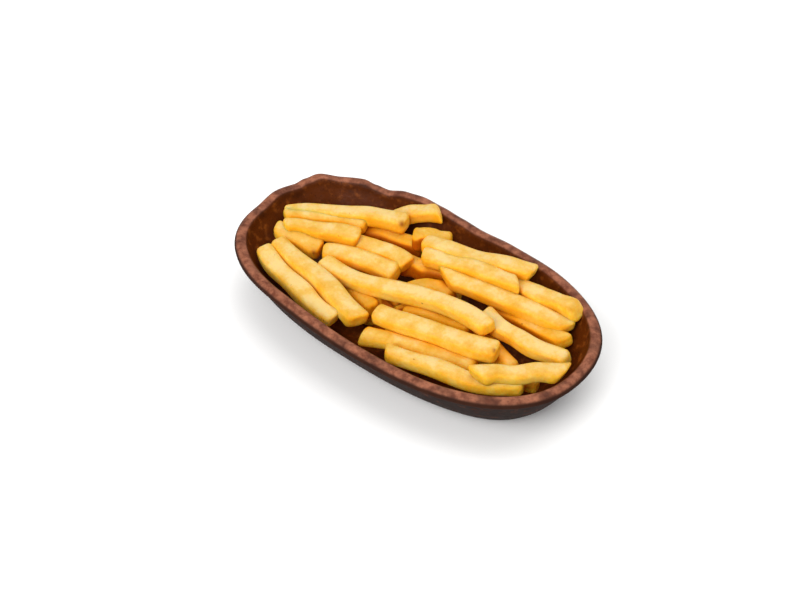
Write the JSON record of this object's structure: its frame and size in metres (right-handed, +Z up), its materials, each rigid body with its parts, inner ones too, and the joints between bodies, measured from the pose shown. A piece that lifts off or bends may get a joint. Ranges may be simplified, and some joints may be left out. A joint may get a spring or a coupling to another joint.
{
  "type": "french fries portion in oval dish",
  "caption": "Portion of thick-cut french fries heaped in a low oval stoneware dish with a rolled, slightly uneven rim.",
  "frame": {"origin": "middle of the dish's flat base, on the surface that it stands on", "axes": "+Z up, +X along the dish's long side, +Y across it, away from the side shown nearest"},
  "size_m": [0.2186, 0.1218, 0.0436],
  "materials": {
    "dish_glaze": "speckled reddish brown glaze, glossy inside, satin outside",
    "fried_potato": null
  },
  "bodies": {
    "root": {"dish": "dish_glaze", "fries_heap": "fried_potato"}
  },
  "joints": []
}
